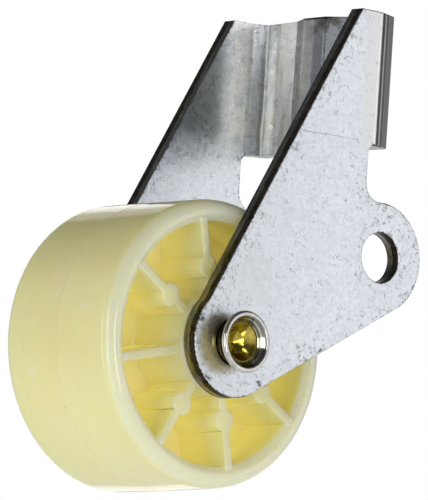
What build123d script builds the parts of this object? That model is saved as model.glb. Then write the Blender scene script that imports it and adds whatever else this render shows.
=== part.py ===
from build123d import *
import os
from math import atan2, cos, degrees, hypot, radians, sin, sqrt

# Sliding door roller: a nylon wheel that turns on a riveted axle in a folded steel housing.
# Millimetres. Origin: centre of the pivot hole, midway between the cheeks.
# +X runs from the wheel to the web, +Y runs along the axle, +Z runs up along the folds.

# ---- driving dimensions ----
WHEEL_R = 19.05
WHEEL_HALF_WIDTH = 10.6
SHOULDER_R = 1.9
CREST_R = 1.0
MOUTH_R = 0.3
RIB_EDGE_R = 0.2
POCKET_R = 16.15
POCKET_MOUTH_Y = 9.9
POCKET_FLOOR_Y = 2.4
POCKET_DRAFT = 0.35
HUB_R = 6.9
HUB_HALF_WIDTH = 11.2
RIB_COUNT = 8
RIB_PHASE = 12.9
RIB_CREST_Y = 10.5
RIB_TOP = 1.2
RIB_ROOT = 1.7
RIB_OVERLAP = 0.5
BOSSLESS_RIBS = (0, 4)
PIN_BOSS_R = 1.55
PIN_BOSS_AT = 10.1
FLOOR_FILLET = 0.8

HOUSING_WIDTH = 27.2
SHEET = 2.15
AXLE_FROM_PIVOT = (-25.4, -14.5)
EYE_OFFSET = 0.4
EYE_R = 7.2
LUG_R = 7.35
PIVOT_HOLE_R = 3.33
APEX = (-5.95, 32.7)
FRONT_EDGE_ANGLE = 60.2
REAR_EDGE_X = -3.25
NECK_FILLET = 2.5
EDGE_BREAK = 0.2

WEB_FACE_X = 1.65
FOLD_START_X = -2.43
FOLD_DROP = 1.285
FOLD_OUTER_R = 1.1
FOLD_INNER_R = 0.2
FOLD_EASE_R = 1.6
WEB_BOTTOM_Z = 14.8
WEB_RELIEF_Z = 14.0
WEB_RELIEF_RUN = 0.65
GROOVE_CENTRE_Y = -0.9
GROOVE_SHOULDER_X = 0.85
GROOVE_FLOOR_X = -0.7
GROOVE_HALF_MOUTH = 4.7
GROOVE_HALF_FLOOR = 1.8
GROOVE_R = 0.9

SHANK_R = 2.95
SHANK_CLEARANCE = 0.05
FLARE_R = 4.1
FLARE_HEIGHT = 2.83
LIP_R = 0.42
LIP_BACK_ANGLE = 40
LIP_FRONT_ANGLE = -150
FUNNEL_R = 2.7
FUNNEL_DEPTH = 1.13
BORE_R = 2.5
BORE_END_R = 1.5
BORE_DEPTH = 2.4
DRILL_POINT = 0.87
HEAD_R = 4.9
HEAD_HEIGHT = 1.7
HEAD_RIM = 0.5

SLEEVE_R = 4.0
RUNNING_CLEARANCE = 0.06
SLEEVE_END_GAP = 0.02

# ---- derived dimensions ----
OUTER_Y = HOUSING_WIDTH / 2
INNER_Y = OUTER_Y - SHEET
AXLE_X, AXLE_Z = AXLE_FROM_PIVOT
TOP_Z = APEX[1]


def polar(radius, angle):
    """Point at a radius and an angle in degrees, from +X towards +Z."""
    return radius * cos(radians(angle)), radius * sin(radians(angle))


def along_y(sketch, start, height):
    """Extrude a sketch drawn as (x, z) from y = start by height along +Y."""
    placed = Plane.XZ.offset(-start) * sketch
    return extrude(placed, amount=-height)


def at_axle(shape):
    return Pos(AXLE_X, 0, AXLE_Z) * shape


def lower_tangent():
    """Ends of the straight lower edge, tangent to the axle eye and to the pivot lug."""
    eye = (AXLE_X + EYE_OFFSET, AXLE_Z)
    run = hypot(eye[0], eye[1])
    slope = degrees(atan2(-eye[1], -eye[0]))
    lean = degrees(atan2(LUG_R - EYE_R, run))
    side = slope - 90 - lean
    foot_x, foot_z = polar(EYE_R, side)
    return (eye[0] + foot_x, eye[1] + foot_z), polar(LUG_R, side)


def cheek_outline():
    """Flat outline of one cheek: eye, lug and the triangular blade between them."""
    eye = (AXLE_X + EYE_OFFSET, AXLE_Z)
    edge_x, edge_z = polar(1, FRONT_EDGE_ANGLE)
    reach = (APEX[0] - eye[0]) * edge_x + (APEX[1] - eye[1]) * edge_z
    front_foot = (APEX[0] - reach * edge_x, APEX[1] - reach * edge_z)
    eye_foot, lug_foot = lower_tangent()
    blade = [APEX, (REAR_EDGE_X, TOP_Z), (REAR_EDGE_X, 0), (0, 0), lug_foot, eye_foot, eye, front_foot]
    outline = make_face(Polyline(*blade, close=True))
    outline += Circle(LUG_R)
    outline += Pos(*eye) * Circle(EYE_R)
    neck_z = sqrt(LUG_R ** 2 - REAR_EDGE_X ** 2)
    neck = outline.vertices().sort_by_distance((REAR_EDGE_X, neck_z, 0))[0]
    outline = fillet(neck, NECK_FILLET)
    outline -= Circle(PIVOT_HOLE_R)
    outline -= Pos(AXLE_X, AXLE_Z) * Circle(SHANK_R + SHANK_CLEARANCE)
    return outline


def web_plan():
    """Plan of the folded strip: each fold eases in, then turns sharply into the grooved web."""
    lip_y = OUTER_Y - SHEET / 2
    corner_y = lip_y - FOLD_DROP
    half = SHEET / 2
    middle_line = [
        (REAR_EDGE_X, lip_y),
        (FOLD_START_X, lip_y),
        (WEB_FACE_X - half, corner_y),
        (GROOVE_SHOULDER_X - half, GROOVE_CENTRE_Y + GROOVE_HALF_MOUTH),
        (GROOVE_FLOOR_X - half, GROOVE_CENTRE_Y + GROOVE_HALF_FLOOR),
        (GROOVE_FLOOR_X - half, GROOVE_CENTRE_Y - GROOVE_HALF_FLOOR),
        (GROOVE_SHOULDER_X - half, GROOVE_CENTRE_Y - GROOVE_HALF_MOUTH),
        (WEB_FACE_X - half, -corner_y),
        (FOLD_START_X, -lip_y),
        (REAR_EDGE_X, -lip_y),
    ]
    band = trace(Polyline(*middle_line), line_width=SHEET)
    for x, y in middle_line[1:-1]:
        is_fold = abs(abs(y) - corner_y) < half
        is_ease = abs(y) > corner_y + half
        near = band.vertices().sort_by_distance((x, y, 0))[:2]
        outer, inner = sorted(near, key=lambda corner: -corner.X)
        outer_r = FOLD_OUTER_R if is_fold else FOLD_EASE_R if is_ease else GROOVE_R
        inner_r = FOLD_INNER_R if is_fold else FOLD_EASE_R if is_ease else GROOVE_R
        band = fillet(outer, outer_r)
        inner = band.vertices().sort_by_distance((inner.X, inner.Y, 0))[0]
        band = fillet(inner, inner_r)
    return band


def is_cut_face(face):
    """True for a face that shears through the sheet: an outline, a hole wall or the strip's ends."""
    centre, normal = face.center(), face.normal_at()
    strip_end = abs(normal.Z) > 0.4 and abs(normal.Y) < 0.01
    return strip_end or abs(abs(centre.Y) - (OUTER_Y - SHEET / 2)) < 0.05


def is_outer_skin(face):
    centre, normal = face.center(), face.normal_at()
    if is_cut_face(face):
        return False
    return abs(centre.Y) > OUTER_Y - 0.01 or normal.X > 0.5


def rolled_edges(blank):
    """Edges of the outer skin that the blanking punch rolled over."""
    cut_edges = [edge for face in blank.faces() if is_cut_face(face) for edge in face.edges()]
    skin_edges = [edge for face in blank.faces() if is_outer_skin(face) for edge in face.edges()]
    return [edge for edge in skin_edges if any(edge.is_same(other) for other in cut_edges)]


def housing():
    """Both cheeks and the folded strip, as one stamped blank with rolled outer edges."""
    cheek = cheek_outline()
    near = along_y(cheek, -OUTER_Y, SHEET)
    far = along_y(cheek, INNER_Y, SHEET)
    strip = extrude(Pos(0, 0, WEB_RELIEF_Z) * web_plan(), amount=TOP_Z - WEB_RELIEF_Z)
    past = WEB_FACE_X + SHEET
    side = Polyline(
        (REAR_EDGE_X, WEB_RELIEF_Z),
        (REAR_EDGE_X + WEB_RELIEF_RUN, WEB_BOTTOM_Z),
        (past, WEB_BOTTOM_Z),
        (past, TOP_Z),
        (REAR_EDGE_X, TOP_Z),
        close=True,
    )
    strip &= along_y(make_face(side), -HOUSING_WIDTH, 2 * HOUSING_WIDTH)
    blank = near + far + strip
    return blank.fillet(EDGE_BREAK, rolled_edges(blank))


def wheel_section():
    """Half of the wheel's section as (radius, y), before its pockets are sunk."""
    bore = SLEEVE_R + RUNNING_CLEARANCE
    tread_y = WHEEL_HALF_WIDTH - SHOULDER_R
    crest = (WHEEL_R - SHOULDER_R, WHEEL_HALF_WIDTH)
    lines = Line((bore, 0), (WHEEL_R, 0))
    lines += Line((WHEEL_R, 0), (WHEEL_R, tread_y))
    lines += CenterArc((crest[0], tread_y), SHOULDER_R, 0, 90)
    lines += Polyline(
        crest,
        (POCKET_R, POCKET_MOUTH_Y),
        (HUB_R, POCKET_MOUTH_Y),
        (HUB_R, HUB_HALF_WIDTH),
        (bore, HUB_HALF_WIDTH),
        (bore, 0),
    )
    section = make_face(lines)
    crest_corner = section.vertices().sort_by_distance((*crest, 0))[0]
    return fillet(crest_corner, CREST_R)


def pocket_ring():
    """Ring sunk into one face between the hub and the rim, with moulding draft on both walls."""
    corners = [
        (HUB_R + POCKET_DRAFT, POCKET_FLOOR_Y),
        (POCKET_R - POCKET_DRAFT, POCKET_FLOOR_Y),
        (POCKET_R, POCKET_MOUTH_Y),
        (HUB_R, POCKET_MOUTH_Y),
    ]
    ring = revolve(make_face(Polyline(*corners, close=True)), axis=Axis.Y)
    floor = ring.faces().sort_by(Axis.Y)[0]
    return fillet(floor.edges(), FLOOR_FILLET)


def rib(index):
    """One rib of a pocket, wider at its root, with the round pad of an ejector pin on most ribs."""
    reach = (HUB_R + POCKET_R) / 2
    length = POCKET_R - HUB_R + 2 * RIB_OVERLAP
    height = RIB_CREST_Y - POCKET_FLOOR_Y + RIB_OVERLAP
    lean = degrees(atan2((RIB_ROOT - RIB_TOP) / 2, height))
    shape = Pos(reach, 0) * Rectangle(length, RIB_TOP)
    if index not in BOSSLESS_RIBS:
        shape += Pos(PIN_BOSS_AT, 0) * Circle(PIN_BOSS_R)
    top = Plane.XZ.offset(-RIB_CREST_Y) * shape
    solid = extrude(top, amount=height, taper=-lean)
    solid = fillet(solid.faces().sort_by(Axis.Y)[-1].edges(), RIB_EDGE_R)
    return Rot(0, -RIB_PHASE - index * 360 / RIB_COUNT, 0) * solid


def wheel():
    half = revolve(wheel_section(), axis=Axis.Y) - pocket_ring()
    mouth = half.edges().sort_by_distance((POCKET_R, POCKET_MOUTH_Y, 0))[0]
    hub_end = half.faces().sort_by(Axis.Y)[-1].edges()
    half = fillet([mouth, *hub_end], MOUTH_R)
    for index in range(RIB_COUNT):
        half += rib(index)
    bore = SLEEVE_R + RUNNING_CLEARANCE
    half -= along_y(Circle(bore), 0, HUB_HALF_WIDTH)
    return at_axle(half + mirror(half, about=Plane.XZ))


def axle_rivet():
    """Semi-tubular rivet: domed head on the far side, shank, and a rolled trumpet on the near side."""
    lip_y = -OUTER_Y - FLARE_HEIGHT
    lip_centre = (FLARE_R - LIP_R, lip_y + LIP_R)
    back_x, back_y = polar(LIP_R, LIP_BACK_ANGLE)
    lip_back = (lip_centre[0] + back_x, lip_centre[1] + back_y)
    lip_tangent = (back_y, -back_x)
    neck = (SHANK_R, -OUTER_Y)
    front_x, front_y = polar(LIP_R, LIP_FRONT_ANGLE)
    lip_front = (lip_centre[0] + front_x, lip_centre[1] + front_y)
    funnel = (FUNNEL_R, lip_y + FUNNEL_DEPTH)
    ledge = (BORE_R, lip_y + FUNNEL_DEPTH)
    bore_end = (BORE_END_R, lip_y + BORE_DEPTH)
    drill_tip = (0, bore_end[1] + DRILL_POINT)
    crown = (0, OUTER_Y + HEAD_HEIGHT)
    head_rim = (HEAD_R, OUTER_Y + HEAD_RIM)
    lines = Polyline(drill_tip, crown)
    lines += TangentArc(crown, head_rim, tangent=(1, 0))
    lines += Polyline(head_rim, (HEAD_R, OUTER_Y), (SHANK_R, OUTER_Y), neck)
    lines += Spline(neck, lip_back, tangents=[(0, -1), lip_tangent])
    lines += CenterArc(lip_centre, LIP_R, LIP_BACK_ANGLE, LIP_FRONT_ANGLE - LIP_BACK_ANGLE)
    lines += Polyline(lip_front, funnel, ledge, bore_end, drill_tip)
    return at_axle(revolve(make_face(lines), axis=Axis.Y))


def axle_sleeve():
    length = 2 * (INNER_Y - SLEEVE_END_GAP)
    ring = Circle(SLEEVE_R) - Circle(SHANK_R + SHANK_CLEARANCE)
    return at_axle(along_y(ring, -length / 2, length))


def main():
    os.makedirs("parts", exist_ok=True)
    nodes = {
        "housing": housing(),
        "wheel": wheel(),
        "axle_rivet": axle_rivet(),
        "axle_sleeve": axle_sleeve(),
    }
    for name, shape in nodes.items():
        export_step(shape, f"parts/{name}.step")


main()
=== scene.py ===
from functools import reduce
from math import cos, pi, radians, sin

import bmesh
import bpy
from mathutils import Matrix, Vector, kdtree, noise


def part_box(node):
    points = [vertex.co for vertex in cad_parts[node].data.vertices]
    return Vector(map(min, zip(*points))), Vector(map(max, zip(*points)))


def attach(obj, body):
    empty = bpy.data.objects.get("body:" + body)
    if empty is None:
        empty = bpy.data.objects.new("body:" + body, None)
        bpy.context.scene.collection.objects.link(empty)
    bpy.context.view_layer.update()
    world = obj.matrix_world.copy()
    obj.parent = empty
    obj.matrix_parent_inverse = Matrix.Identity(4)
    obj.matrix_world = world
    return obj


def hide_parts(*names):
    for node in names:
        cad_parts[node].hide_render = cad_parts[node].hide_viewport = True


MM = 0.001

# the housing, in millimetres: its sheet, the outer faces of its cheeks and the strip folded between them
SHEET = 2.15
CHEEK_Y = 13.6
FOLD_X = -2.43
FOLD_SLOPE = 0.43
STRIP_X = -3.3
STRIP_Z = 13.9
STRIP_HALF = 11.7
WEB_X = 1.65

# the groove pressed into the web, in millimetres
GROOVE_Y = -0.9
GROOVE_HALF_FLOOR = 1.8
GROOVE_HALF_MOUTH = 4.7
GROOVE_FLOOR_X = -0.7
GROOVE_SHOULDER_X = 0.85

# chipped corners of the near cheek's outline: x, z, size and depth in millimetres
CHIPS = (
    (-29.71, -19.56, 0.9, 0.45),
    (-20.47, -19.28, 0.7, 0.35),
    (-31.26, -11.82, 0.8, 0.30),
    (-9.88, -13.72, 0.6, 0.25),
)

# depth of the tears in the cut faces, and how far from them the skin is still scuffed, in millimetres
TEAR_DEPTH = 0.07
EDGE_REACH = 8.0

# the wheel, in millimetres, and the draft of its tread as a slope
TREAD_R = 19.05
RIM_MIDDLE_R = 17.0
POCKET_R = 16.15
POCKET_MOUTH_Y = 9.9
PARTING_HALF = 0.15
PARTING_DEPTH = 0.05
DRAFT = 0.006

# steps of the grid that a shell is cut on, in millimetres, and the reach in metres of a weld
GRID = 1.0
CUT_FACE_GRID = 0.35
CHIP_GRID = 0.3
WELD = 2e-6

# edges that turn by more than this stay sharp
SHARP_ANGLE = radians(35)

# name, azimuth and elevation in degrees, distance, width and height in metres, radiance
LIGHTS = (
    ("broad_right", -50.0, 8.0, 0.9, 0.8, 0.8, 0.62),
    ("strip_left", -161.0, -6.0, 0.7, 0.12, 0.6, 4.6),
    ("strip_front", -104.0, -4.0, 0.8, 0.10, 0.5, 6.5),
    ("back_high", 54.0, 25.0, 0.9, 0.5, 0.32, 0.6),
    ("back_low", 49.0, -14.0, 0.7, 0.5, 0.15, 0.7),
    ("strip_back_left", 152.0, -6.0, 0.7, 0.12, 0.6, 3.0),
)

# bright patches of the room: azimuth, elevation, inner and outer half angle in degrees, strength
PATCHES = (
    (50.0, 8.0, 17.0, 23.0, 0.9),
    (117.0, 8.0, 15.0, 35.0, 0.55),
)
DIM_PATCH = (47.8, 7.0, 4.5, 8.5, 0.9)

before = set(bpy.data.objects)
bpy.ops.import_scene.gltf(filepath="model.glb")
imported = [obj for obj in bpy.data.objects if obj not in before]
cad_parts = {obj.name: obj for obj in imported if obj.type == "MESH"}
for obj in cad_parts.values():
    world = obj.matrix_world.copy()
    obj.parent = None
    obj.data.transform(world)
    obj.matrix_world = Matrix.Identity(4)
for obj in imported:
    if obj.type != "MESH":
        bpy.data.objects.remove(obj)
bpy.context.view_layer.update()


# ---- node helpers ----
def add(tree, kind, inputs=None, **settings):
    """New node with its settings and inputs; an input given as a socket is linked."""
    node = tree.nodes.new(kind)
    for key, value in settings.items():
        setattr(node, key, value)
    for key, value in (inputs or {}).items():
        if isinstance(value, bpy.types.NodeSocket):
            tree.links.new(value, node.inputs[key])
        else:
            node.inputs[key].default_value = value
    return node


def calc(tree, operation, *values):
    """Result of a math node for sockets and numbers."""
    return add(tree, "ShaderNodeMath", dict(enumerate(values)), operation=operation).outputs[0]


def product(tree, *values):
    """Product of any number of masks and numbers."""
    return reduce(lambda first, second: calc(tree, "MULTIPLY", first, second), values)


def total(tree, *values):
    """Sum of any number of sockets and numbers."""
    return reduce(lambda first, second: calc(tree, "ADD", first, second), values)


def ramp(tree, value, low, high, start=0.0, end=1.0):
    """Smooth step of value from start at low to end at high."""
    inputs = {"Value": value, "From Min": low, "From Max": high, "To Min": start, "To Max": end}
    return add(tree, "ShaderNodeMapRange", inputs, interpolation_type="SMOOTHSTEP").outputs["Result"]


def fade(tree, length, low, high, start=0.0, end=1.0):
    """Smooth step over a length, between two limits in millimetres."""
    return ramp(tree, length, low * MM, high * MM, start, end)


def stripe(tree, length, low, high, soft=0.12):
    """1 between two limits of a length, in millimetres, with soft sides."""
    rise = fade(tree, length, low - soft, low + soft)
    fall = fade(tree, length, high - soft, high + soft, 1.0, 0.0)
    return product(tree, rise, fall)


def spot(tree, place, centre, radius):
    """Soft round spot at a point given in millimetres."""
    away = add(tree, "ShaderNodeVectorMath", {0: place, 1: Vector(centre) * MM}, operation="DISTANCE")
    return fade(tree, away.outputs["Value"], radius, 0.4 * radius)


def blend_colour(tree, factor, first, second, mode="MIX"):
    """Mix of two colours, each a socket or three numbers."""
    node = add(tree, "ShaderNodeMix", data_type="RGBA", blend_type=mode)
    for index, value in ((0, factor), (6, first), (7, second)):
        if isinstance(value, bpy.types.NodeSocket):
            tree.links.new(value, node.inputs[index])
        else:
            node.inputs[index].default_value = value if index == 0 else (*value, 1)
    return node.outputs[2]


def two_tone(tree, value, low, high, first, second):
    """First colour where a value is low, second where it is high."""
    return blend_colour(tree, ramp(tree, value, low, high), first, second)


def tint(tree, colour, mask, tone, strength=1.0):
    """Colour with a tone laid over it where a mask is 1."""
    return blend_colour(tree, product(tree, mask, strength), colour, tone)


def banded(tree, colour, length, tones, mask):
    """Colour with bands laid over it, each between two limits of a length."""
    for low, high, tone, soft, strength in tones:
        band = product(tree, stripe(tree, length, low, high, soft), mask)
        colour = tint(tree, colour, band, tone, strength)
    return colour


def grain(tree, place, scale, detail=3.0, roughness=0.5, distortion=0.0):
    """Noise with about as many lumps per metre as its scale."""
    inputs = {"Vector": place, "Scale": scale, "Detail": detail}
    inputs |= {"Roughness": roughness, "Distortion": distortion}
    return add(tree, "ShaderNodeTexNoise", inputs).outputs["Fac"]


def stretched(tree, place, scale):
    return add(tree, "ShaderNodeMapping", {"Vector": place, "Scale": scale}).outputs["Vector"]


def wavering(tree, place, length, stretch, scale, reach):
    """Length that wanders across a reach in millimetres, slowly along z."""
    waver = grain(tree, stretched(tree, place, (1.0, 1.0, stretch)), scale)
    return total(tree, length, product(tree, calc(tree, "SUBTRACT", waver, 0.5), reach * MM))


def bump(tree, height, distance, strength, under=None):
    inputs = {"Height": height, "Distance": distance, "Strength": strength}
    if under is not None:
        inputs["Normal"] = under
    return add(tree, "ShaderNodeBump", inputs).outputs["Normal"]


def new_material(name):
    """Node material with its tree and shader."""
    material = bpy.data.materials.new(name)
    material.use_nodes = True
    tree = material.node_tree
    return material, tree, tree.nodes["Principled BSDF"]


def coordinates(tree):
    """Object coordinates, whole and as x, y and z."""
    place = add(tree, "ShaderNodeTexCoord").outputs["Object"]
    return place, add(tree, "ShaderNodeSeparateXYZ", {"Vector": place}).outputs


def plug(tree, shader, **values):
    """Shader inputs by name; a value given as a socket is linked."""
    for key, value in values.items():
        socket = shader.inputs[key.replace("_", " ")]
        if isinstance(value, bpy.types.NodeSocket):
            tree.links.new(value, socket)
        else:
            socket.default_value = value


# ---- where a point of the housing lies ----
def outer_skin(tree, axes):
    """1 on the outer side of the cheeks and of the sloping panels of both folds."""
    past = calc(tree, "MAXIMUM", total(tree, axes[0], -FOLD_X * MM), 0.0)
    depth = total(tree, calc(tree, "ABSOLUTE", axes[1]), product(tree, past, FOLD_SLOPE))
    middle, soft = CHEEK_Y - SHEET / 2, 0.125
    return fade(tree, depth, middle - soft, middle + soft)


def strip_inside(tree, axes):
    """1 on the inner side of the folded strip, between the cheeks."""
    floor, shoulder = (x - SHEET / 2 for x in (GROOVE_FLOOR_X, GROOVE_SHOULDER_X))
    aside = calc(tree, "ABSOLUTE", total(tree, axes[1], -GROOVE_Y * MM))
    groove = fade(tree, aside, GROOVE_HALF_FLOOR, GROOVE_HALF_MOUTH, floor * MM, shoulder * MM)
    rise = (WEB_X - GROOVE_SHOULDER_X) * MM
    middle = total(tree, groove, fade(tree, aside, GROOVE_HALF_MOUTH, STRIP_HALF, 0.0, rise))
    behind = fade(tree, calc(tree, "SUBTRACT", axes[0], middle), 0.15, -0.15)
    inner = calc(tree, "SUBTRACT", 1.0, outer_skin(tree, axes))
    return product(tree, inner, behind, fade(tree, axes[0], -3.2, -2.9))


# ---- galvanised skin of the housing ----
def spangle(tree, place):
    """Tone of the zinc's crystals, cell by cell, with slow clouds and a fine frost over them."""
    wander = add(tree, "ShaderNodeTexNoise", {"Vector": place, "Scale": 500.0, "Detail": 3.0})
    bent = blend_colour(tree, 1.5 * MM, place, wander.outputs["Color"], "ADD")
    cells = add(tree, "ShaderNodeTexVoronoi", {"Vector": bent, "Scale": 1300.0}).outputs["Color"]
    cell = add(tree, "ShaderNodeSeparateColor", {"Color": cells}).outputs[0]
    return cell, grain(tree, place, 170.0, 4.0, 0.6), grain(tree, place, 2400.0, 4.0, 0.62)


def zinc_colour(tree, axes, cell, clouds, frost):
    """Pale bluish zinc, duller towards the axle."""
    tone = total(tree, product(tree, cell, 0.25), product(tree, clouds, 0.35), product(tree, frost, 0.8))
    colour = two_tone(tree, tone, 0.45, 0.92, (0.70, 0.73, 0.775), (0.86, 0.895, 0.95))
    along = total(tree, axes[0], product(tree, clouds, 6.0 * MM))
    return tint(tree, colour, fade(tree, along, -30.0, -2.0, 1.0, 0.0), (0.42, 0.44, 0.46), 0.26)


def scuffs(tree, place, edge, clouds):
    """Small squiggly scuffs that crowd towards the cut edges."""
    crowd = fade(tree, edge, 0.0, 4.0, 0.07, 0.0)
    squiggle = total(tree, grain(tree, place, 1500.0, 5.0, 0.66, 0.9), crowd)
    return ramp(tree, total(tree, squiggle, product(tree, clouds, 0.16)), 0.66, 0.80)


def frayed_rim(tree, place, edge):
    """Broken rim along the cut edges and over the chips."""
    ragged = product(tree, grain(tree, place, 1100.0, 4.0, 0.7), 1.3 * MM)
    fray = fade(tree, total(tree, edge, ragged), 0.78, 0.60)
    broken = ramp(tree, grain(tree, place, 1300.0, 4.0, 0.7), 0.46, 0.54)
    for x, z, size, _ in CHIPS:
        chip = product(tree, spot(tree, place, (x, -CHEEK_Y, z), 1.1 * size), broken)
        fray = calc(tree, "MAXIMUM", fray, chip)
    return fray


def far_cheek_painted_light(tree, place, axes, colour):
    """Inside of the far cheek: painted shade away from the fold, and a painted bright reflection in a band
    beside it.
    """
    face = product(tree, fade(tree, axes[1], 11.2, 11.3), fade(tree, axes[1], 12.0, 11.7))
    ragged = product(tree, grain(tree, place, 260.0, 4.0, 0.6), 3.0 * MM)
    along = total(tree, axes[0], ragged)
    high = product(tree, face, fade(tree, total(tree, axes[2], ragged), 15.5, 19.5))
    # painted shade on the far cheek's inside, away from the fold
    dull = product(tree, high, fade(tree, along, -4.6, -7.2))
    colour = tint(tree, colour, dull, (0.22, 0.235, 0.25), 0.75)
    # painted reflection: a bright band beside the fold, broken up by the spangle
    bright = product(tree, high, stripe(tree, along, -4.6, -0.4, 0.5))
    flake = ramp(tree, grain(tree, place, 1000.0, 4.0, 0.7, 0.6), 0.40, 0.56, 0.1, 1.0)
    return tint(tree, colour, product(tree, bright, flake), (1.0, 1.0, 0.98))


def web_painted_light_and_rust(tree, place, axes, strip, colour):
    """Inside of the folded strip: painted light and shade in bands that follow the panels of the groove,
    and rust in the top corner.
    """
    web = product(tree, strip, fade(tree, axes[2], 13.0, 14.0))
    # painted light and shade: each panel of the groove lighter or darker as it would catch the light
    tones = (
        # from y, to y, colour, softness, strength
        (7.6, 10.2, (0.46, 0.46, 0.42), 0.3, 0.7),
        (4.3, 7.6, (1.0, 1.0, 0.96), 0.4, 0.75),
        (1.0, 4.1, (0.20, 0.21, 0.20), 0.12, 0.8),
        (-0.7, 1.0, (0.28, 0.29, 0.28), 0.3, 0.8),
        (-10.5, -0.7, (0.11, 0.12, 0.14), 0.4, 0.85),
    )
    across = wavering(tree, place, axes[1], 0.15, 500.0, 0.8)
    colour = banded(tree, colour, across, tones, web)
    corner = product(tree, web, fade(tree, axes[2], 28.0, 31.5), fade(tree, axes[1], 1.0, -1.5))
    rust = ramp(tree, grain(tree, place, 420.0, 4.0, 0.6), 0.44, 0.64)
    return tint(tree, colour, product(tree, corner, rust), (0.055, 0.05, 0.03), 0.8)


def web_stains(tree, place, axes, strip, colour):
    """Dull, faintly brown smears that run down the inside of the folded strip."""
    deep = product(tree, strip, fade(tree, axes[2], 13.0, 17.0))
    low = product(tree, fade(tree, axes[2], 29.0, 24.0, 0.25, 1.0), fade(tree, axes[1], -0.5, 1.5))
    smear = grain(tree, stretched(tree, place, (1.0, 1.0, 0.18)), 900.0, 4.0, 0.6)
    brown = product(tree, deep, low, ramp(tree, smear, 0.44, 0.66))
    colour = tint(tree, colour, brown, (0.66, 0.61, 0.48), 0.7)
    blotch = ramp(tree, grain(tree, place, 520.0, 4.0, 0.66, 0.8), 0.55, 0.72)
    return tint(tree, colour, product(tree, deep, blotch), (0.26, 0.26, 0.23), 0.4)


def crease_painted_light(tree, place, axes, colour):
    """Painted highlight down the die's line in the inner corner of the far fold, with painted shade on its
    shoulders and in a small pit.
    """
    across = wavering(tree, place, axes[1], 0.3, 900.0, 0.25)
    deep = product(tree, fade(tree, axes[0], -1.6, -1.3), fade(tree, axes[0], 0.2, -0.1))
    pit = spot(tree, place, (-0.75, 10.5, 24.4), 0.9)
    # painted shade on both sides of the crease and in the pit
    shoulder = product(tree, stripe(tree, across, 10.1, 10.85, 0.08), deep)
    colour = tint(tree, colour, calc(tree, "MAXIMUM", shoulder, pit), (0.16, 0.16, 0.15), 0.4)
    # painted highlight: a white line down the crease
    line = product(tree, stripe(tree, across, 10.36, 10.64, 0.05), deep)
    line = product(tree, line, calc(tree, "SUBTRACT", 1.0, pit))
    return tint(tree, colour, line, (1.0, 1.0, 0.99)), line


def fold_marks_and_painted_reflections(tree, place, axes, colour):
    """Rubbed band beside each fold, then painted reflections, white and dark, on the lines that the die
    left along it, and painted shade over the rest of the bend.
    """
    above = product(tree, outer_skin(tree, axes), fade(tree, axes[2], 13.6, 14.6))
    # the white and dark bands are painted reflections, the last band painted shade
    tones = (
        # from x, to x, colour, softness, strength
        (-4.9, -2.6, (0.80, 0.80, 0.77), 0.25, 0.55),
        (-2.50, -2.12, (0.98, 0.98, 0.97), 0.08, 0.92),
        (-2.05, -1.36, (0.08, 0.084, 0.09), 0.08, 0.92),
        (-1.33, -0.98, (0.98, 0.98, 0.97), 0.08, 0.92),
        (-0.95, -0.30, (0.16, 0.165, 0.17), 0.08, 0.92),
        (-0.25, 1.90, (0.36, 0.375, 0.38), 0.15, 0.92),
    )
    travel = wavering(tree, place, axes[0], 0.12, 1500.0, 0.35)
    burnished = product(tree, fade(tree, travel, -2.7, -2.4), above)
    return banded(tree, colour, travel, tones, above), burnished


def scored_line(tree, axes):
    """Thin line scored across the near cheek, fainter towards the fold."""
    level, tilt, half_width = 15.27, 0.02, 0.055
    height = calc(tree, "SUBTRACT", axes[2], product(tree, axes[0], tilt))
    across = stripe(tree, height, level - half_width, level + half_width, 0.04)
    along = stripe(tree, axes[0], -15.9, -5.1, 0.8)
    near = fade(tree, axes[1], -13.3, -13.5)
    return product(tree, across, along, near, fade(tree, axes[0], -11.0, -6.0, 0.9, 0.35))


def cheek_rubs(tree, place, scuff):
    """Two spots on the near cheek where the scuffs are darker."""
    rubs = []
    for x, z, radius in ((-0.5, 5.2, 1.1), (-16.3, -1.5, 0.8)):
        rubs.append(product(tree, spot(tree, place, (x, -CHEEK_Y, z), radius), scuff))
    return calc(tree, "MAXIMUM", *rubs)


def galvanised_skin():
    """Zinc-coated sheet: pale fine spangle, grey scuffs, worn and stained where the sheet was bent, with
    painted shade, highlights and reflections inside and along the folds.
    """
    material, tree, shader = new_material("galvanised_skin")
    place, axes = coordinates(tree)
    edge = add(tree, "ShaderNodeAttribute", attribute_name="edge_distance").outputs["Fac"]
    cell, clouds, frost = spangle(tree, place)
    scuff = scuffs(tree, place, edge, clouds)
    strip = strip_inside(tree, axes)
    colour = zinc_colour(tree, axes, cell, clouds, frost)
    colour = tint(tree, colour, scuff, (0.27, 0.28, 0.28), 0.75)
    colour = tint(tree, colour, frayed_rim(tree, place, edge), (0.06, 0.055, 0.05), 0.85)
    # painted shade and a painted bright reflection inside the far cheek
    colour = far_cheek_painted_light(tree, place, axes, colour)
    # painted light and shade across the panels of the web
    colour = web_painted_light_and_rust(tree, place, axes, strip, colour)
    colour = web_stains(tree, place, axes, strip, colour)
    # painted highlight down the crease, with painted shade beside it
    colour, line = crease_painted_light(tree, place, axes, colour)
    # painted reflections and painted shade along the fold
    colour, burnished = fold_marks_and_painted_reflections(tree, place, axes, colour)
    score = scored_line(tree, axes)
    marks = calc(tree, "MAXIMUM", score, cheek_rubs(tree, place, scuff))
    colour = tint(tree, colour, marks, (0.22, 0.22, 0.22), 0.6)
    gloss = ramp(tree, total(tree, cell, clouds), 0.4, 1.4, 0.24, 0.34)
    gloss = total(tree, gloss, product(tree, burnished, -0.10), product(tree, line, 0.5))
    height = total(tree, product(tree, frost, 0.30), product(tree, scuff, -0.5))
    height = calc(tree, "SUBTRACT", height, score)
    dents = bump(tree, grain(tree, place, 240.0, 2.0), 0.08 * MM, 0.3)
    skin = bump(tree, height, 0.03 * MM, 0.5, dents)
    plug(tree, shader, Base_Color=colour, Roughness=gloss, Metallic=1.0, Normal=skin)
    return material


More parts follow.
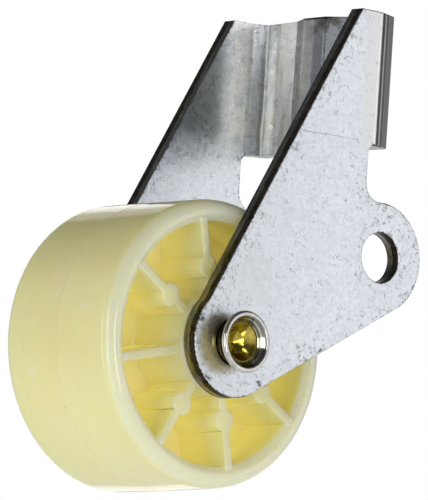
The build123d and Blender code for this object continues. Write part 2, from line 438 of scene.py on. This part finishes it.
def sheared_edge():
    """Cut face of the sheet: a smoother burnished half inside, then a dark torn half to the outer burr."""
    material, tree, shader = new_material("sheared_edge")
    place, axes = coordinates(tree)
    waver = product(tree, grain(tree, place, 650.0, 4.0, 0.6), 1.0 * MM)
    across = total(tree, calc(tree, "ABSOLUTE", axes[1]), waver)
    torn = fade(tree, across, 12.85, 13.1)
    lines = grain(tree, stretched(tree, place, (0.35, 6.0, 0.35)), 900.0)
    tear = grain(tree, place, 1500.0, 5.0, 0.7, 0.6)
    smooth = two_tone(tree, lines, 0.35, 0.65, (0.07, 0.07, 0.07), (0.28, 0.28, 0.27))
    dark = two_tone(tree, tear, 0.35, 0.68, (0.010, 0.008, 0.006), (0.075, 0.062, 0.045))
    colour = blend_colour(tree, torn, smooth, dark)
    gloss = ramp(tree, torn, 0.0, 1.0, 0.26, 0.55)
    skin = bump(tree, tear, 0.10 * MM, 0.6)
    plug(tree, shader, Base_Color=colour, Roughness=gloss, Metallic=0.9, Normal=skin)
    return material


# ---- nylon of the wheel ----
def box_middle(node):
    low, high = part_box(node)
    return (low + high) / 2


def round_axle(tree, axes):
    """Distance of a point from the axle's centre line."""
    axle = box_middle("wheel")
    out_x = calc(tree, "SUBTRACT", axes[0], axle.x)
    out_z = calc(tree, "SUBTRACT", axes[2], axle.z)
    squares = total(tree, calc(tree, "POWER", out_x, 2.0), calc(tree, "POWER", out_z, 2.0))
    return calc(tree, "SQRT", squares)


def tread_scuffs(tree, place):
    """Short pale rubs on the tread, each at an angle round the wheel and a distance along the axle."""
    axle = box_middle("wheel") / MM
    fine = ramp(tree, grain(tree, place, 1800.0), 0.48, 0.56)
    rubs = []
    for angle, y, radius in ((196.9, 4.9, 1.2), (171.4, -4.85, 0.9), (176.9, 5.06, 1.0), (164.5, 0.6, 0.9)):
        turn = radians(angle)
        centre = (axle.x + TREAD_R * cos(turn), y, axle.z + TREAD_R * sin(turn))
        rubs.append(product(tree, spot(tree, place, centre, radius), fine))
    return reduce(lambda first, second: calc(tree, "MAXIMUM", first, second), rubs)


def nylon_colour(tree, place, radius, inward, sunk):
    """Clouded ivory, a painted gold of light bounced deep in the pockets, paler on the rim's sides, with
    specks and rubs.
    """
    cloud = grain(tree, place, 90.0)
    colour = two_tone(tree, cloud, 0.3, 0.7, (0.91, 0.845, 0.43), (0.94, 0.88, 0.50))
    # painted light: deeper gold in the pockets, where light would bounce inside the nylon
    colour = tint(tree, colour, sunk, (0.94, 0.85, 0.41), 0.8)
    beyond = fade(tree, radius, POCKET_R - 0.25, POCKET_R + 0.05)
    face = product(tree, fade(tree, inward, 0.8, 0.2), beyond)
    colour = tint(tree, colour, face, (0.96, 0.93, 0.70), 0.7)
    crest = product(tree, stripe(tree, radius, 16.3, 17.4), 0.05)
    speck = ramp(tree, total(tree, grain(tree, place, 1500.0, 2.0), crest), 0.74, 0.78)
    colour = tint(tree, colour, speck, (0.45, 0.40, 0.24), 0.5)
    return tint(tree, colour, tread_scuffs(tree, place), (0.97, 0.95, 0.82), 0.5)


def moulded_nylon():
    """Natural nylon: ivory yellow where it is lit, a painted gold glow deep in the pockets, faintly
    scuffed.
    """
    material, tree, shader = new_material("moulded_nylon")
    place, axes = coordinates(tree)
    radius = round_axle(tree, axes)
    inward = calc(tree, "SUBTRACT", POCKET_MOUTH_Y * MM, calc(tree, "ABSOLUTE", axes[1]))
    within = fade(tree, radius, POCKET_R + 0.75, POCKET_R - 0.15)
    sunk = product(tree, fade(tree, inward, -0.5, 6.5), within)
    colour = nylon_colour(tree, place, radius, inward, sunk)
    gloss = ramp(tree, grain(tree, place, 500.0, 4.0), 0.3, 0.7, 0.07, 0.13)
    skin = bump(tree, grain(tree, place, 200.0, 3.0, 0.55), 0.06 * MM, 0.2)
    plug(tree, shader, Base_Color=colour, Roughness=gloss, IOR=1.53, Normal=skin)
    plug(tree, shader, Subsurface_Weight=1.0, Subsurface_Scale=0.006, Subsurface_Radius=(1.0, 0.8, 0.30))
    # painted glow: the pockets give off a faint gold light
    painted_glow = ramp(tree, sunk, 0.0, 1.0, 0.0, 0.12)
    plug(tree, shader, Emission_Color=(0.92, 0.78, 0.26, 1), Emission_Strength=painted_glow)
    return material


# ---- rivet and sleeve ----
def rivet_colour(tree, mottle, radius, behind_lip, neck):
    """Silver lip with a ring of painted shade in its funnel, gold bore with painted shade at its ledge,
    olive neck darkened with painted shade, and gold back of the flare.
    """
    silver = two_tone(tree, mottle, 0.35, 0.7, (0.60, 0.59, 0.55), (0.80, 0.79, 0.75))
    # olive of the neck, darkened as painted shade under the flare
    olive = two_tone(tree, mottle, 0.35, 0.7, (0.12, 0.10, 0.035), (0.30, 0.25, 0.09))
    gold = two_tone(tree, mottle, 0.35, 0.7, (0.38, 0.30, 0.035), (0.68, 0.54, 0.12))
    # painted shade: a dark ring in the funnel
    ring = product(tree, stripe(tree, radius, 3.12, 3.42, 0.08), fade(tree, behind_lip, 0.8, 0.7))
    bore = product(tree, fade(tree, radius, 2.78, 2.70), stripe(tree, behind_lip, 1.0, 5.0))
    # painted shade along the step of the ledge
    ledge = product(tree, bore, stripe(tree, radius, 2.52, 2.8, 0.04))
    flare_back = product(tree, neck, fade(tree, radius, 3.05, 3.4))
    colour = tint(tree, silver, ring, (0.07, 0.07, 0.06), 0.7)
    colour = tint(tree, colour, neck, olive)
    colour = tint(tree, colour, bore, gold)
    colour = tint(tree, colour, ledge, (0.10, 0.08, 0.02))
    return tint(tree, colour, flare_back, (0.66, 0.54, 0.25))


def yellow_zinc():
    """Plated rivet: bright worn lip and funnel, yellow chromate in the bore, olive darkened with painted
    shade under the flare.
    """
    material, tree, shader = new_material("yellow_zinc")
    place, axes = coordinates(tree)
    lip_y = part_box("axle_rivet")[0].y
    behind_lip = calc(tree, "SUBTRACT", axes[1], lip_y)
    radius = round_axle(tree, axes)
    mottle = grain(tree, place, 900.0, 4.0, 0.6)
    # neck: where the painted shade under the flare goes
    neck = product(tree, fade(tree, behind_lip, 0.55, 0.85), fade(tree, behind_lip, 3.2, 2.9))
    neck = product(tree, neck, fade(tree, radius, 2.75, 2.85))
    colour = rivet_colour(tree, mottle, radius, behind_lip, neck)
    gloss = total(tree, ramp(tree, mottle, 0.3, 0.7, 0.06, 0.11), product(tree, neck, 0.12))
    skin = bump(tree, grain(tree, place, 700.0), 0.05 * MM, 0.3)
    plug(tree, shader, Base_Color=colour, Roughness=gloss, Metallic=1.0, Normal=skin)
    return material


def sleeve_steel():
    """Turned steel tube with fine rings round it."""
    material, tree, shader = new_material("sleeve_steel")
    place = coordinates(tree)[0]
    turning = grain(tree, stretched(tree, place, (400.0, 9000.0, 400.0)), 1.0, 2.0)
    colour = two_tone(tree, turning, 0.3, 0.7, (0.42, 0.41, 0.39), (0.60, 0.59, 0.56))
    gloss = ramp(tree, turning, 0.3, 0.7, 0.25, 0.38)
    skin = bump(tree, turning, 0.03 * MM, 0.5)
    plug(tree, shader, Base_Color=colour, Roughness=gloss, Metallic=1.0, Normal=skin)
    return material


def dress(node, material):
    """Material and slot for a piece that keeps the CAD mesh."""
    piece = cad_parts[node]
    piece.data.materials.clear()
    piece.data.materials.append(material)


# ---- shells of the housing and the wheel ----
def new_object(name, data):
    """Object in the scene for a mesh, a light or a camera."""
    thing = bpy.data.objects.new(name, data)
    bpy.context.scene.collection.objects.link(thing)
    return thing


def welded(node):
    """Copy of a CAD node's mesh with its doubled corners joined."""
    bm = bmesh.new()
    bm.from_mesh(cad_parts[node].data)
    bmesh.ops.remove_doubles(bm, verts=bm.verts, dist=WELD)
    return bm


def finished(bm, name):
    """Mesh made of an edited copy, which is freed."""
    mesh = bpy.data.meshes.new(name)
    bm.to_mesh(mesh)
    bm.free()
    return mesh


def sliced(bm, axis, low, high, step):
    """Cut every face on evenly spaced planes across one axis."""
    count = int((high - low) / step)
    for index in range(1, count + 1):
        point, normal = Vector((0, 0, 0)), Vector((0, 0, 0))
        point[axis], normal[axis] = low + index * step, 1.0
        geometry = bm.verts[:] + bm.edges[:] + bm.faces[:]
        bmesh.ops.bisect_plane(bm, geom=geometry, plane_co=point, plane_no=normal, dist=1e-6)


def is_cut(centre, normal):
    """True where a face shears through the sheet, False on the rolled skin of the cheeks and web."""
    if centre.z > STRIP_Z * MM and centre.x > STRIP_X * MM:
        return abs(normal.z) > 0.5
    return abs(normal.y) < 0.5


def housing_grid(bm):
    """Cut the housing finely enough to be torn and chipped along its edges."""
    low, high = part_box("housing")
    sliced(bm, 0, low.x, high.x, GRID * MM)
    sliced(bm, 2, low.z, high.z, GRID * MM)
    for side in (low.y, high.y - SHEET * MM):
        sliced(bm, 1, side, side + SHEET * MM, CUT_FACE_GRID * MM)
    for x, z, size, _ in CHIPS:
        sliced(bm, 0, (x - size) * MM, (x + size) * MM, CHIP_GRID * MM)
        sliced(bm, 2, (z - size) * MM, (z + size) * MM, CHIP_GRID * MM)
    bm.normal_update()


def edge_distances(bm, reach):
    """Distance from every vertex to the nearest cut edge, up to a reach."""
    rims = [v for v in bm.verts if len({face.material_index for face in v.link_faces}) > 1]
    tree = kdtree.KDTree(len(rims))
    for index, vertex in enumerate(rims):
        tree.insert(vertex.co, index)
    tree.balance()
    return [min(reach, tree.find(vertex.co)[2]) for vertex in bm.verts]


def roughen(bm):
    """Torn cut faces and a few chipped corners, always inwards of the blanked outline."""
    chips = []
    for x, z, size, depth in CHIPS:
        chips.append((Vector((x * MM, -CHEEK_Y * MM, z * MM)), size * MM, depth * MM))
    for vertex in bm.verts:
        cut = [face for face in vertex.link_faces if face.material_index == 1]
        if not cut:
            continue
        outward = sum((face.normal for face in cut), Vector()).normalized()
        bite = 0.0
        if len(cut) == len(vertex.link_faces):
            bite = (0.5 + 0.5 * noise.noise(vertex.co * 1400)) * TEAR_DEPTH * MM
        for centre, size, depth in chips:
            near = max(0.0, 1.0 - (vertex.co - centre).length / size)
            bite = max(bite, depth * near ** 0.5)
        vertex.co -= outward * bite


def housing_shell():
    """The stamped housing, with torn cut faces and chipped corners."""
    bm = welded("housing")
    housing_grid(bm)
    for face in bm.faces:
        face.material_index = int(is_cut(face.calc_center_median(), face.normal))
        face.smooth = True
    distances = edge_distances(bm, EDGE_REACH * MM)
    roughen(bm)
    mesh = finished(bm, "housing_shell")
    mesh.attributes.new("edge_distance", "FLOAT", "POINT").data.foreach_set("value", distances)
    shell = new_object("housing_shell", mesh)
    mesh.materials.append(galvanised_skin())
    mesh.materials.append(sheared_edge())
    mesh.set_sharp_from_angle(angle=SHARP_ANGLE)
    shell.modifiers.new("even_normals", "WEIGHTED_NORMAL").keep_sharp = True
    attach(shell, "bracket")
    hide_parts("housing")


def draft_tread(bm):
    """Draft on each half of the tread, and the fine groove where the halves of the mould met."""
    axle = box_middle("wheel")
    for vertex in bm.verts:
        out = Vector((vertex.co.x - axle.x, 0, vertex.co.z - axle.z))
        if out.length > RIM_MIDDLE_R * MM:
            in_groove = abs(vertex.co.y) < 0.01 * MM
            sunk = PARTING_DEPTH * MM if in_groove else DRAFT * abs(vertex.co.y)
            vertex.co -= out.normalized() * sunk


def sharpen_wheel(bm):
    """Sharp edges at corners and along the parting groove, smooth faces everywhere else."""
    for edge in bm.edges:
        ring = all(abs(vertex.co.y) < (PARTING_HALF + 0.01) * MM for vertex in edge.verts)
        level = abs(edge.verts[0].co.y - edge.verts[1].co.y) < 0.01 * MM
        edge.smooth = not (edge.calc_face_angle(0) > SHARP_ANGLE or (ring and level))
    for face in bm.faces:
        face.smooth = True


def nylon_wheel():
    """The moulded wheel with the fine witness line that the mould's parting left round its tread."""
    bm = welded("wheel")
    sliced(bm, 1, -2 * PARTING_HALF * MM, 1.5 * PARTING_HALF * MM, PARTING_HALF * MM)
    draft_tread(bm)
    sharpen_wheel(bm)
    mesh = finished(bm, "nylon_wheel")
    mesh.materials.append(moulded_nylon())
    wheel = new_object("nylon_wheel", mesh)
    wheel.modifiers.new("even_normals", "WEIGHTED_NORMAL").keep_sharp = True
    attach(wheel, "roller")
    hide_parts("wheel")


# ---- studio ----
def direction(azimuth, elevation):
    """Unit vector; azimuth runs from +X towards +Y, both in degrees."""
    turn, lift = radians(azimuth), radians(elevation)
    return Vector((cos(turn) * cos(lift), sin(turn) * cos(lift), sin(lift)))


def softbox(name, azimuth, elevation, distance, width, height, radiance):
    """Soft light aimed at the housing."""
    data = bpy.data.lights.new(name, "AREA")
    data.shape, data.size, data.size_y = "RECTANGLE", width, height
    data.energy = radiance * pi * width * height
    light = new_object(name, data)
    toward = direction(azimuth, elevation)
    light.location = box_middle("housing") + toward * distance
    light.rotation_mode = "QUATERNION"
    light.rotation_quaternion = toward.to_track_quat("Z", "Y")
    light.visible_camera = False


def lobe(tree, toward, azimuth, elevation, inner, outer, strength):
    """Patch of the room, full inside one half angle and gone outside another."""
    inputs = {0: toward, 1: direction(azimuth, elevation)}
    facing = add(tree, "ShaderNodeVectorMath", inputs, operation="DOT_PRODUCT").outputs["Value"]
    return ramp(tree, facing, cos(radians(outer)), cos(radians(inner)), 0.0, strength)


def studio_world():
    """White to the camera; a dim room, paler below, with a bright backdrop to everything else."""
    world = bpy.data.worlds.new("studio")
    bpy.context.scene.world = world
    world.use_nodes = True
    tree = world.node_tree
    toward = add(tree, "ShaderNodeTexCoord").outputs["Generated"]
    height = add(tree, "ShaderNodeSeparateXYZ", {"Vector": toward}).outputs["Z"]
    glow = ramp(tree, height, -0.30, 0.55, 0.55, 0.10)
    for patch in PATCHES:
        glow = calc(tree, "MAXIMUM", glow, lobe(tree, toward, *patch))
    shade = calc(tree, "SUBTRACT", 1.0, lobe(tree, toward, *DIM_PATCH))
    seen = add(tree, "ShaderNodeLightPath").outputs["Is Camera Ray"]
    strength = calc(tree, "MAXIMUM", seen, product(tree, glow, shade))
    plug(tree, tree.nodes["Background"], Color=(1, 1, 1, 1), Strength=strength)


def studio_floor():
    """Pale floor, seen from above only."""
    mesh = bpy.data.meshes.new("studio_floor")
    half, level = 1.6, -0.26
    corners = [(-half, -half, level), (half, -half, level), (half, half, level), (-half, half, level)]
    mesh.from_pydata(corners, [], [(0, 1, 2, 3)])
    floor = new_object("studio_floor", mesh)
    material, tree, shader = new_material("studio_floor")
    under = add(tree, "ShaderNodeNewGeometry").outputs["Backfacing"]
    clear = add(tree, "ShaderNodeBsdfTransparent").outputs["BSDF"]
    either = add(tree, "ShaderNodeMixShader", {0: under, 1: shader.outputs["BSDF"], 2: clear})
    tree.links.new(either.outputs[0], tree.nodes["Material Output"].inputs["Surface"])
    plug(tree, shader, Base_Color=(0.86, 0.86, 0.86, 1), Roughness=0.8)
    plug(tree, shader, Emission_Color=(1, 1, 1, 1), Emission_Strength=0.42)
    mesh.materials.append(material)


def aim_camera():
    """Long lens, a little below the part, turned and rolled the way the part is seen."""
    azimuth, elevation, roll = radians(-42.23), radians(-6.93), radians(3.71)
    target, distance, lens = Vector((-0.0175, 0.0, -0.00064)), 1.1858, 643.8
    back = Vector((sin(azimuth) * cos(elevation), -cos(azimuth) * cos(elevation), sin(elevation)))
    level = Vector((cos(azimuth), sin(azimuth), 0.0))
    upright = back.cross(level)
    right = cos(roll) * level + sin(roll) * upright
    up = cos(roll) * upright - sin(roll) * level
    data = bpy.data.cameras.new("camera")
    data.sensor_width, data.lens = 36.0, lens
    data.clip_start, data.clip_end = 0.05, 20.0
    camera = new_object("camera", data)
    turn = Matrix((right, up, back)).transposed().to_4x4()
    camera.matrix_world = Matrix.Translation(target + back * distance) @ turn
    bpy.context.scene.camera = camera


housing_shell()
nylon_wheel()
dress("axle_rivet", yellow_zinc())
dress("axle_sleeve", sleeve_steel())
studio_world()
studio_floor()
for light in LIGHTS:
    softbox(*light)
aim_camera()
bpy.context.scene.view_settings.view_transform = "Standard"
